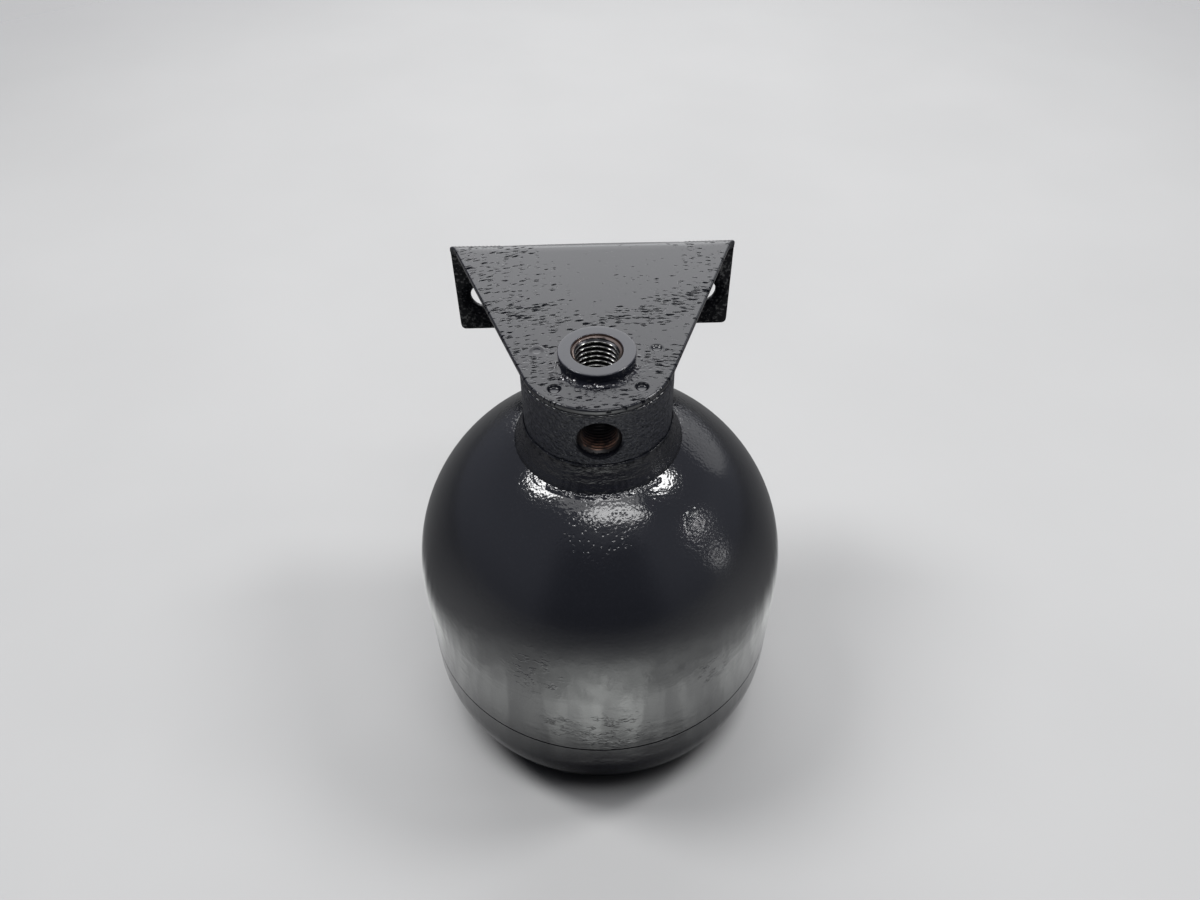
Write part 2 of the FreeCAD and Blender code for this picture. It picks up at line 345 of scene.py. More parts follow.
@dataclass(frozen=True)
class Enamel(Finish):
    """Sprayed black enamel: orange peel and relief under a gloss that comes and goes.

    Attributes:
        level: Grey of the film.
        dusty: Grey of the dust on it.
        dust: Share of dust.
        roughness: Roughness where it is glossy and where it is dull.
        peel_grain: Size of the orange peel, in millimetres.
        peel_depth: Its depth.
    """

    name: str = "enamel"
    level: float = 0.0065
    dusty: float = 0.02
    dust: float = 0.3
    roughness: Pair = (0.1, 0.45)
    peel_grain: float = 1.1
    peel_depth: float = 0.01 * MM

    def layers(self) -> Layers:
        """The enamel's own pattern.

        Returns:
            How dull it is and its share of matt black (painted shade), from 0 to 1, and heights on
            the peel with their depths.
        """
        return self.nodes.noise(9) * 0.3, None, []

    def shader(self) -> Shader:
        """A film with specks of dust, and its reliefs one on the other.

        Returns:
            The inputs and the share of matt black.
        """
        nodes = self.nodes
        dull, hollow, reliefs = self.layers()
        normal = nodes.bump(nodes.noise(self.peel_grain), self.peel_depth)
        for height, depth in reliefs:
            normal = nodes.bump(height, depth, normal)
        low, high = self.roughness
        specks = nodes.noise(0.6, 3.0).step(0.5, 0.8) * self.dust
        return {
            "Base Color": nodes.mix(specks, tone(self.level), tone(self.dusty, 0.2)),
            "Roughness": dull * (high - low) + low,
            "Normal": normal,
        }, hollow


@dataclass(frozen=True)
class PlateEnamel(Enamel):
    """Glossy enamel of the bracket: short pits on the plate and a coarse spatter on the flange,
    both darkened by painted shade.

    The pits are pit_grain millimetres apart, and stay clear of the punched dimples.
    """

    name: str = "plate_enamel"
    roughness: Pair = (0.11, 0.5)
    pit_grain: float = 0.58
    pit_depth: float = 0.22 * MM
    pock_depth: float = 0.12 * MM
    grit_depth: float = 0.3 * MM
    dimples: tuple[Pair, ...] = ()

    def density(self) -> Socket:
        """How closely pits lie: near the boss, along both edges, in a V behind it, few between.

        Returns:
            The density, about 0 to 1.
        """
        nodes = self.nodes
        x, y, _ = nodes.parts
        clouds = nodes.noise(6, 2.5, 0.6, nodes.vector(x * 0.45, y))
        left = (x + y * 0.32).span(8, -8) * 0.62
        right = (x - y * 0.36).span(-2, 10) * 0.45
        wedge = (y - x.size() * 0.45 - 12 * MM).size().span(10, 3) * 0.9
        front = y.span(12, 4) * 0.66
        return (clouds - 0.5) * 1.7 + left.most(right).most(wedge).most(front) + 0.16

    def pits(self) -> tuple[Socket, Socket]:
        """Pits as short strokes on lines that arch over the boss, longer where they are dense.

        Returns:
            How deep they are, and how much painted shade blackens them, from 0 to 1.
        """
        nodes = self.nodes
        x, y, _ = nodes.parts
        flat = nodes.vector(x, y)
        across = x * 0.27 + nodes.wander(0.35, 1.3, 1.0, at=flat)
        along = y + x * x * 4.0 - x * 0.08 + nodes.wander(0.7, 1.1, at=flat)
        away, chance = nodes.cells(self.pit_grain, nodes.vector(across, along))
        depth = (self.density() * 0.48 + chance * 0.5 - 0.31 - away).step(0.0, 0.18)
        # The second share is painted shade: how black the pits are drawn.
        return depth, depth * (chance * 0.7 + 0.32)

    def layers(self) -> Layers:
        """Short pits drawn out from side to side, pocks in front, and grit on the flange; painted
        shade blackens the pits, the grit's hollows and the rear walls of the dimples.

        Returns:
            How dull it is, its share of painted shade, and the heights.
        """
        nodes = self.nodes
        x, y, z = nodes.parts
        flat = nodes.vector(x, y)
        top = z.span(8.6, 9.5)
        clear, rings = top, 0.0
        for across, back in self.dimples:
            reach = nodes.away((across, back, 0.0), flat)
            clear = clear * reach.span(1.9, 2.6)
            # Painted shade: a dark crescent on each dimple's rear wall.
            ring = reach.span(0.7, 1.3) * reach.span(2.0, 1.65) * (y - back).span(-1.2, 0.2)
            rings = (ring * (0.8 if back < 0 else 0.4)).most(rings)
        pits, black = self.pits()
        blobs = nodes.noise(1.2, 2.0, 0.55, nodes.vector(x * 0.8, y))
        front = (y - nodes.noise(7, 1.0) * (12 * MM)).span(3, -7)
        pocks = (blobs - 0.56).most(0.0) * 3.0 * front * clear
        foot = nodes.from_axis.span(14.5, 11) * y.span(4, -3) * clear
        grit = nodes.noise(0.9, 1.5, 0.55)
        low = z.span(7.6, 6.5)
        # Painted shade: matt black in the grit's hollows on the flange, most on its front face.
        shaded_grit_hollows = low * grit.step(0.68, 0.5) * (y.span(54.2, 53.4) * 0.6 + 0.25)
        bend = y.span(49.5, 51.5) * 0.6
        return bend.most((1.0 - top) * 0.2), (black * clear).most(shaded_grit_hollows).most(rings), [
            (1.0 - pits * clear, self.pit_depth),
            (1.0 - pocks, self.pock_depth),
            (nodes.noise(0.8, 1.5, 0.6) * foot, self.pock_depth * 1.6),
            (grit * low, self.grit_depth),
        ]


@dataclass(frozen=True)
class ShellEnamel(Enamel):
    """Enamel of the halves: gritty round the neck, satin on the dome, glossy and streaked below.

    Grit, pocks, wrinkles (folds) and upright runs each have a depth. The places are the middles of
    the gritty patch on the right shoulder, of the pocked patch in front of the neck, and, with
    radii, of the wrinkled patches.
    """

    name: str = "shell_enamel"
    roughness: Pair = (0.1, 0.22)
    grit_depth: float = 0.1 * MM
    pock_depth: float = 0.078 * MM
    fold_depth: float = 0.088 * MM
    run_depth: float = 0.3 * MM
    shoulder_place: Point = (0.026, -0.027, -0.026)
    pock_place: Point = (-0.001, -0.030, -0.020)
    fold_places: tuple[tuple[Point, float], ...] = (
        ((-0.0182, -0.0486, -0.0545), 0.0075),
        ((0.0026, -0.0527, -0.077), 0.0085),
        ((-0.0127, -0.0512, -0.0752), 0.0045),
        ((0.0285, -0.0440, -0.062), 0.006),
    )

    def folds(self) -> Socket:
        """The wrinkles and cracks, in their patches.

        Returns:
            Their height, from 0 to 1.
        """
        nodes = self.nodes
        wavy = nodes.wander(7, 3, 3.0)
        patches = reduce(Socket.most, (
            (nodes.away(middle) + wavy).step(radius * 1.6, radius * 0.3)
            for middle, radius in self.fold_places
        ))
        squashed = nodes.noise(3, 2.5, 0.6, nodes.stretched(0.8, 0.8, 1.5))
        broken = nodes.noise(3.5, 1.0).step(0.42, 0.6)
        return ((squashed - 0.5).size() * -18.0 + 1.0).most(0.0) * broken * patches

    def pocks(self) -> Socket:
        """The round pocks in front of the neck.

        Returns:
            Their depth, from 0 to 1.
        """
        nodes = self.nodes
        uneven = nodes.wander(1.2, 1.5, 1.0)
        away, chance = nodes.cells(1.05, nodes.vector(*(part + uneven for part in nodes.parts)))
        here = nodes.away(self.pock_place).span(13, 5)
        return (0.4 - away).most(0.0) * 2.2 * chance.step(0.2, 0.5) * here

    def grit(self, round_neck: Socket) -> Socket:
        """The grit: strong at the fillet's toe, fair round the neck, faint elsewhere.

        Args:
            round_neck: Share of the zone round the neck.

        Returns:
            Its height.
        """
        nodes = self.nodes
        y = nodes.parts[1]
        toe = nodes.from_axis.span(23.7, 22.6) * y.span(-14, -19)
        toe = toe * (nodes.noise(2.2, 1.0).step(0.4, 0.62) * 0.8 + 0.2)
        shoulder = nodes.away(self.shoulder_place).span(12, 5)
        sides = round_neck * y.span(-9, 1) * 0.9
        strength = round_neck * round_neck * 0.45 + sides + toe * 3.6 + shoulder + 0.14
        return nodes.noise(0.9, 1.5) * strength

    def layers(self) -> Layers:
        """Grit and pocks round the neck; upright streaks, wrinkles and cracks below.

        Returns:
            How dull it is, no painted shade, and the heights.
        """
        nodes = self.nodes
        z = nodes.parts[2]
        clouds = nodes.wander(9, 9)
        round_neck = (nodes.from_axis + clouds).span(38, 27) * z.span(-40, -30)
        below = (z + clouds * 0.6).span(-40, -56)
        upright = nodes.stretched(1.0, 1.0, 0.16)
        streaks = nodes.noise(9, 2.5, at=upright).step(0.24, 0.76) * 0.38 + 0.62
        gloss = (round_neck * 0.9 + 0.1).most(below * streaks)
        lying = nodes.noise(14, at=nodes.stretched(1.0, 1.0, 1.8)).step(0.46, 0.66) * below
        return 1.0 - gloss, None, [
            (self.grit(round_neck), self.grit_depth),
            (1.0 - self.pocks(), self.pock_depth),
            (self.folds(), self.fold_depth),
            (nodes.noise(1.4, 2.0, 0.6) * lying, self.fold_depth * 0.8),
            (nodes.noise(5, 1.5, at=upright) * below, self.run_depth),
        ]


@dataclass(frozen=True)
class FilletEnamel(Enamel):
    """Enamel on the weld fillet: fine lumps drawn out round it, with painted shade in the crease
    under the neck and towards the toe.

    Crease and toe are distances from the axis, in millimetres, over which the painted shade fades
    in.
    """

    name: str = "fillet_enamel"
    roughness: Pair = (0.16, 0.3)
    peel_grain: float = 0.9
    peel_depth: float = 0.05 * MM
    lump_depth: float = 0.28 * MM
    crease: Pair = (19.85, 19.05)
    toe: Pair = (20.6, 22.4)

    def layers(self) -> Layers:
        """Drawn-out lumps, and painted shade in the crease where the fillet meets the neck and
        towards the toe.

        Returns:
            How dull it is, its share of painted shade, and the heights.
        """
        nodes = self.nodes
        ragged = nodes.from_axis + nodes.wander(1.6, 1.6, 3.0, 0.6)
        # Painted shade: matt black in the crease under the neck and, half as strong, towards the
        # toe; at least a quarter share all over.
        hollow = (ragged.span(*self.crease) * 0.85).most(ragged.span(*self.toe) * 0.5).most(0.25)
        drawn = nodes.noise(1.0, 2.0, 0.55, nodes.stretched(0.55, 0.55, 1.3))
        return nodes.noise(9) * 0.5, hollow, [(drawn, self.lump_depth)]


@dataclass(frozen=True)
class BlockFinish(Finish):
    """Enamel on the turned block: gritty with tool rings on the neck, glossy on the boss.

    The top port is bare steel, with painted shade in its thread's roots and a pale chamfer, and the
    side port is rusty near its mouth, with painted shade deeper in. The enamel's ragged edge lies
    in their mouths.

    Attributes:
        top_edge: Distances from the axis, in millimetres, where bare steel begins and is full.
        side_edge: The same from the side port's axis.
        grit_depth: Depth of the neck's grit.
        root_shade: Painted shade in the thread's roots; stain is the colour of the chamfer's outer
            edge.
        side_port_shade: Painted shade in the side port, round its rusty crests near the mouth.
    """

    name: str = "turned_block_finish"
    top_edge: Pair = (6.55, 6.35)
    side_edge: Pair = (5.7, 5.2)
    grit_depth: float = 1.1 * MM
    root_shade: Colour = (0.008, 0.008, 0.009, 1.0)
    chamfer: Colour = (0.26, 0.21, 0.185, 1.0)
    stain: Colour = (0.03, 0.016, 0.01, 1.0)
    side_port_shade: Colour = (0.006, 0.004, 0.004, 1.0)
    rusty_crest: Colour = (0.19, 0.095, 0.06, 1.0)

    def metal(self, side: Socket, from_side: Socket) -> Socket:
        """The bare steel in the top port and the rusty crests in the side port, with painted shade
        in the roots of both threads and deeper in the side port.

        Args:
            side: Share of the side port.
            from_side: Distance from its axis.

        Returns:
            Their colour.
        """
        nodes = self.nodes
        _, y, z = nodes.parts
        worn = nodes.noise(1.6, 3.0)
        crest = nodes.from_axis.span(5.44, 5.3)
        # Painted shade: the thread's roots are near black, and the crests keep the steel's grey.
        steel = nodes.mix(crest, self.root_shade, tone(0.15, -0.04))
        steel = nodes.mix(z.span(11.3, 11.4) * worn.step(0.2, 0.45), steel, self.chamfer)
        steel = nodes.mix(z.span(11.8, 11.9), steel, self.stain)
        # Rusty crests only near the mouth and on the lower wall; deeper in and higher up, the side
        # port is painted shade.
        crest = from_side.span(4.95, 4.6) * worn.step(0.3, 0.6) * z.span(0.5, -4) * y.span(-11, -17)
        return nodes.mix(side, steel, nodes.mix(crest, self.side_port_shade, self.rusty_crest))

    def shader(self) -> Shader:
        """Enamel and bare metal, and matt black as painted shade in the neck's pits and on the side
        port's lower lip.

        Returns:
            The inputs and the share of matt black.
        """
        nodes = self.nodes
        x, y, z = nodes.parts
        ragged = nodes.wander(0.7, 0.8, 3.0)
        from_side = nodes.reach(x, z)
        bare = (nodes.from_axis + ragged * 0.4).span(*self.top_edge)
        side = (from_side + ragged).span(*self.side_edge) * y.span(-5, -5.5)
        metal = bare.most(side)

        below = 1.0 - z.span(7.3, 7.9)
        dust = nodes.noise(0.5, 3.0, 0.6).step(0.45, 0.8) * below * 0.4
        # The neck's paint leans to blue: partly its own colour, partly painted reflection of a
        # bluish room; pale dust specks lie over it.
        paint = nodes.mix(dust, tone(0.009, 0.5), tone(0.02, 0.4))
        # Painted light: the boss's top face is a lighter grey than the rest of the paint.
        paint = nodes.mix(z.span(11.9, 12.1), paint, tone(0.026, 0.2))

        neck = below * (1.0 - metal)
        rings = nodes.noise(0.5, 3.0, 0.65, nodes.vector(nodes.from_axis * 0.2, 0.0, z))
        slanted = nodes.vector(x * 0.8 + z * 0.3, y * 0.8, z)
        grit = nodes.noise(1.3, 2.5, 0.65, slanted)
        # Painted shade: matt black specks in the neck's pits.
        specks = nodes.noise(0.7, 1.0, at=slanted).step(0.56, 0.4) * neck * 0.28
        # Painted shade: matt black on the side port's lower lip, where its flare faces the lamps.
        lower_lip_shade = from_side.span(6.3, 6.0) * from_side.span(5.1, 5.4) * z.span(0.0, -2.5) * 0.85
        normal = nodes.bump(nodes.noise(1.1), 0.01 * MM)
        return {
            "Base Color": nodes.mix(metal, paint, self.metal(side, from_side)),
            "Metallic": bare * 0.9 + side * 0.4,
            "Roughness": (below * 0.28 + 0.1) * (1.0 - metal) + metal * (side * 0.2 + 0.25),
            "Normal": nodes.bump((rings * 0.2 + grit) * neck, self.grit_depth, normal),
        }, specks.most(lower_lip_shade)


@dataclass(frozen=True)
class TurnedSteel(Finish):
    """Bare turned steel with fine tool marks about the axis, a little tarnished."""

    name: str = "turned_steel"
    level: float = 0.42
    brown: Colour = (0.2, 0.15, 0.1, 1.0)

    def shader(self) -> Shader:
        """Marks that vary with height and distance from the axis, and brown clouds.

        Returns:
            The inputs and the share of matt black.
        """
        nodes = self.nodes
        marks = nodes.noise(0.3, 3.0, 0.6, nodes.vector(nodes.from_axis, 0.0, nodes.parts[2]))
        tarnish = nodes.noise(5, 4.0).step(0.45, 0.75)
        return {
            "Base Color": nodes.mix(tarnish, tone(self.level, -0.06), self.brown),
            "Metallic": 1.0,
            "Roughness": tarnish * 0.2 + marks * 0.1 + 0.22,
            "Normal": nodes.bump(marks, 0.02 * MM),
        }, None


@dataclass(frozen=True)
class MouldedRubber(Finish):
    """Moulded black rubber with a faint bloom."""

    name: str = "moulded_rubber"

    def shader(self) -> Shader:
        """A pale bloom in clouds over a fine grain.

        Returns:
            The inputs and the share of matt black.
        """
        nodes = self.nodes
        bloom = nodes.noise(9, 4.0).step(0.4, 0.8)
        fine = nodes.noise(0.5, 3.0)
        return {
            "Base Color": nodes.mix(bloom, tone(0.014, 0.0), tone(0.035, 0.0)),
            "Roughness": bloom * 0.15 + fine * 0.1 + 0.5,
            "Normal": nodes.bump(fine, 0.03 * MM),
        }, None


# Meshes


def surface(name: str, points: np.ndarray, wrap_rows: bool = False) -> Piece:
    """Mesh of a surface given as a grid of points.

    Each cell of the grid becomes one face. The columns close on themselves, and the rows do too
    where wrap_rows is set. A row whose points all lie in one place is a pole, and its cells become
    triangles. Faces point outwards where the columns run anticlockwise seen from above and the rows
    run up on the outside.

    Args:
        name: Name of the object and mesh.
        points: Array of rows by columns by 3, in metres.
        wrap_rows: Join the last row to the first.

    Returns:
        The object, linked to the scene.
    """
    rows, columns = points.shape[:2]
    index = np.arange(rows * columns).reshape(rows, columns)
    pole = np.ptp(points, axis=1).max(axis=1) < SAME_PLACE
    index[pole] = index[pole, :1]
    if wrap_rows:
        index = np.vstack([index, index[:1]])
    ahead = np.roll(index, -1, axis=1)
    cells = np.stack([index[:-1], ahead[:-1], ahead[1:], index[1:]], axis=-1).reshape(-1, 4)
    used, flat = np.unique(cells, return_inverse=True)
    cells = flat.reshape(-1, 4)
    low = cells[:, 0] == cells[:, 1]
    high = cells[:, 2] == cells[:, 3]
    faces = cells[~low & ~high].tolist()
    faces += cells[low & ~high][:, [0, 2, 3]].tolist()
    faces += cells[high & ~low][:, [0, 1, 2]].tolist()
    mesh = bpy.data.meshes.new(name)
    mesh.from_pydata(points.reshape(-1, 3)[used].tolist(), [], faces)
    mesh.validate()
    return linked(bpy.data.objects.new(name, mesh))


def linked(piece: Piece) -> Piece:
    """Link an object to the scene, and return it."""
    bpy.context.scene.collection.objects.link(piece)
    return piece


def turn_angles(count: int) -> np.ndarray:
    """Angles about Z for a turned piece, from the front (-Y) towards +X."""
    return np.arange(count) * 2 * math.pi / count


def grid(count: int, *parts: np.ndarray | float) -> np.ndarray:
    """Rows of a grid: parts are numbers, rows or sets of rows, repeated across where narrow."""
    sets = [np.atleast_2d(part) for part in parts]
    return np.vstack([np.broadcast_to(part, (len(part), count)) for part in sets])


def turned(radius: np.ndarray, height: np.ndarray, count: int) -> np.ndarray:
    """Points of a surface of revolution: x = r sin(angle), y = -r cos(angle), z = height.

    Args:
        radius: Radii by row, or by row and column.
        height: Heights by row, or by row and column.
        count: Number of columns.

    Returns:
        Array of rows by columns by 3.
    """
    angle = turn_angles(count)
    radius, height = (grid(count, part.reshape(len(part), -1)) for part in (radius, height))
    return np.stack([radius * np.sin(angle), -radius * np.cos(angle), height], axis=-1)


def rounded(corners: list[Point], steps: int, spacing: float) -> np.ndarray:
    """A closed run through corners (a, b, radius), each corner replaced by an arc of its radius.

    An arc's centre lies on the corner's bisector, and its points are spread evenly by angle. A
    stretch that is longer than spacing is divided evenly.

    Args:
        corners: The corners in order.
        steps: Pieces that an arc is made of.
        spacing: Longest step between two points.

    Returns:
        Array of points by 2.
    """
    run = []
    places = np.array(corners)[:, :2]
    share = np.linspace(0, 1, steps + 1)[:, None]
    for i, (_, _, radius) in enumerate(corners):
        here = places[i]
        if radius <= 0:
            run.append(here[None])
            continue
        back, ahead = places[i - 1] - here, places[(i + 1) % len(corners)] - here
        back, ahead = back / np.linalg.norm(back), ahead / np.linalg.norm(ahead)
        half = math.acos(float(np.clip(back @ ahead, -1, 1))) / 2
        reach = radius / math.tan(half)
        middle = (back + ahead) / np.linalg.norm(back + ahead)
        centre = here + middle * radius / math.sin(half)
        start, end = here + back * reach - centre, here + ahead * reach - centre
        sweep = math.pi - 2 * half
        arc = (start * np.sin((1 - share) * sweep) + end * np.sin(share * sweep)) / math.sin(sweep)
        run.append(centre + arc)
    points = np.vstack(run)
    pieces = []
    for start, end in zip(points, np.roll(points, -1, axis=0)):
        parts = max(1, math.ceil(np.linalg.norm(end - start) / spacing))
        pieces.append(start + (end - start) * (np.arange(parts) / parts)[:, None])
    return np.vstack(pieces)


def lumps(angle: np.ndarray, seed: int, finest: int, strength: float) -> np.ndarray:
    """Irregular lumps round the axis: a sum of waves, size times sin(number times angle + phase).

    Args:
        angle: Angles.
        seed: Start of the random numbers, sizes and phases.
        finest: Highest number of waves round the axis.
        strength: Rough size of the sum.

    Returns:
        The heights, about zero.
    """
    dice = np.random.default_rng(seed)
    height = np.zeros_like(angle)
    for number in dice.integers(3, finest, 24):
        size, phase = dice.uniform(0.2, 0.45), dice.uniform(0, 2 * math.pi)
        height += size * np.sin(number * angle + phase)
    return strength * height


@dataclass(frozen=True)
class Thread:
    """The wall of a tapped hole.

    Attributes:
        tap: Radius of the tapping drill.
        root: Radius of the thread's roots.
        pitch: Its pitch.
        floor: Where it ends, along its axis.
    """

    tap: float
    root: float
    pitch: float
    floor: float

    def radii(self, along: np.ndarray, count: int) -> np.ndarray:
        """Radii of the wall: the tap's plus the groove of a helix.

        The groove's phase is the place along the axis over pitch, less angle over a full turn, and
        its depth fades out over the last turn. It is a trapezium: a flat crest of a quarter pitch,
        60 degree flanks and a root of an eighth.

        Args:
            along: Places along the axis.
            count: Number of columns.

        Returns:
            Radii by row and column.
        """
        phase = along[:, None] / self.pitch - turn_angles(count) / (2 * math.pi)
        offset = np.abs(phase - np.round(phase))
        groove = np.clip((0.375 - offset) / 0.3125, 0, 1)
        fade = np.clip((along - self.floor) / self.pitch, 0, 1)[:, None]
        return self.tap + (self.root - self.tap) * groove * fade


def cut(piece: Piece, cutters: list[Piece]) -> None:
    """Take closed cutters out of a closed piece, and delete them.

    Args:
        piece: The piece, whose mesh is replaced by the result.
        cutters: What is taken out.
    """
    for cutter in cutters:
        step = piece.modifiers.new("cut", "BOOLEAN")
        step.object, step.operation, step.solver = cutter, "DIFFERENCE", "EXACT"
    graph = bpy.context.evaluated_depsgraph_get()
    mesh = bpy.data.meshes.new_from_object(piece.evaluated_get(graph))
    piece.modifiers.clear()
    piece.data = mesh
    for cutter in cutters:
        bpy.data.objects.remove(cutter)


def dress(piece: Piece, material: Material) -> None:
    """Give every slot of a piece the material, and add one where it has none.

    Args:
        piece: The piece.
        material: What it gets.
    """
    if not piece.material_slots:
        piece.data.materials.append(material)
    for place in piece.material_slots:
        place.material = material


def dress_nodes(material: Material, *names: str) -> None:
    """Give CAD nodes that stay the material."""
    for name in names:
        dress(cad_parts[name], material)


def finish(piece: Piece, crease: float, material: Material) -> None:
    """Shade a piece smooth and dress it.

    Args:
        piece: The piece.
        crease: Angle, in degrees, above which an edge stays sharp.
        material: What it gets.
    """
    piece.data.shade_smooth()
    piece.data.set_sharp_from_angle(angle=math.radians(crease))
    dress(piece, material)


def settle(piece: Piece, *nodes: str) -> None:
    """Let a finished, painted piece ride on the vessel, and hide the nodes that it replaces.

    Args:
        piece: The piece.
        *nodes: CAD nodes that it replaces.
    """
    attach(piece, Body.VESSEL.value)
    if nodes:
        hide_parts(*nodes)
    log.info("%s: %d faces on the vessel", piece.name, len(piece.data.polygons))


# Sub-assemblies


@dataclass
class TurnedBlock:
    """The port block: neck, boss, threaded top port, threaded side port and drillings."""

    top: float = 7.5 * MM
    shoulder: float = -12.5 * MM
    seat: float = field(default_factory=lambda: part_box("port_block")[0][2])
    spigot_radius: float = 14.0 * MM
    boss_radius: float = 9.65 * MM
    boss_top: float = 12.3 * MM
    mouth_radius: float = 6.3 * MM
    lip: float = 0.55 * MM
    edge: float = 0.28 * MM
    drilling: float = 3.0 * MM
    drill_point: float = math.radians(59)
    port: Thread = Thread(5.25 * MM, 6.0 * MM, 1.5 * MM, -2.5 * MM)
    side_port: Thread = Thread(4.5 * MM, 5.0 * MM, 1.0 * MM, 9.0 * MM)
    side_mouth: float = 5.9 * MM
    side_flare: float = math.radians(30)
    side_drilling: float = 2.0 * MM
    columns: int = 216
    rows_a_turn: int = 18

    def outside(self) -> np.ndarray:
        """The outer profile from the drilling's lower edge, round the outside, to the mouth.

        Returns:
            Radii and heights by row.
        """
        corners = [
            (self.drilling, self.seat, 0),
            (self.spigot_radius, self.seat, 0.8 * MM),
            (self.spigot_radius, self.shoulder, 0),
            (NECK_RADIUS, self.shoulder, 0),
            (NECK_RADIUS, self.top, 0.4 * MM),
            (self.boss_radius, self.top, 0.25 * MM),
            (self.boss_radius, self.boss_top, self.edge),
            (self.mouth_radius + self.lip / 2, self.boss_top, 0.2 * MM),
            (self.mouth_radius, self.boss_top - self.lip / 2, 0),
        ]
        run = rounded(corners, 6, 0.9 * MM)
        closing = (run[:, 0] < self.mouth_radius) & (run[:, 1] > self.seat + 0.01 * MM)
        return run[~closing]

    def rows(self, thread: Thread, end: float) -> int:
        """Number of rows from a thread's floor to the end of its hole."""
        return int((end - thread.floor) / thread.pitch * self.rows_a_turn)

    def bore(self) -> tuple[np.ndarray, np.ndarray]:
        """The top port's wall, whose first turn is cut by a 45 degree mouth.

        Returns:
            Radii by row and column, and heights by row.
        """
        rows = self.rows(self.port, self.boss_top)
        height = np.linspace(self.boss_top - 0.3 * MM, self.port.floor, rows)
        mouth = self.mouth_radius - (self.boss_top - self.edge - height)
        return np.maximum(self.port.radii(height, self.columns), mouth[:, None]), height

    def side_cutter(self) -> Piece:
        """The side port's space as a closed solid: drilling, cone, threaded wall and flared mouth.

        Its radius by distance from the origin is the drilling's, then the thread's, then a flare,
        each carried round the -Y axis.

        Returns:
            The solid.
        """
        thread = self.side_port
        outer = NECK_RADIUS + 1.0 * MM
        count = self.columns // 2
        angle = turn_angles(count)
        along = np.linspace(thread.floor, outer, self.rows(thread, outer))
        flare_start = NECK_RADIUS - (self.side_mouth - thread.tap) / math.tan(self.side_flare)
        flare = thread.tap + (along - flare_start) * math.tan(self.side_flare)
        wall = np.maximum(thread.radii(along, count), flare[:, None])
        radius = grid(count, 0.0, self.side_drilling, self.side_drilling, wall, 0.0)
        along = grid(count, 0.0, 0.0, thread.floor - 2.2 * MM, along[:, None], outer)
        points = np.stack([radius * np.cos(angle), -along, radius * np.sin(angle)], axis=-1)
        return surface("side_port_cutter", points)

    def build(self) -> None:
        """Make the block, cut the side port and dress it."""
        outside = self.outside()
        radius, height = self.bore()
        cone = (self.port.tap - self.drilling) / math.tan(self.drill_point)
        radii = grid(self.columns, outside[:, :1], radius, self.drilling, self.drilling)
        low = [self.port.floor - cone, self.seat + 4 * MM]
        heights = np.concatenate([outside[:, 1], height, low])
        piece = surface("turned_block", turned(radii, heights, self.columns), wrap_rows=True)
        cut(piece, [self.side_cutter()])
        finish(piece, 35, BlockFinish().material())
        settle(piece, "port_block")


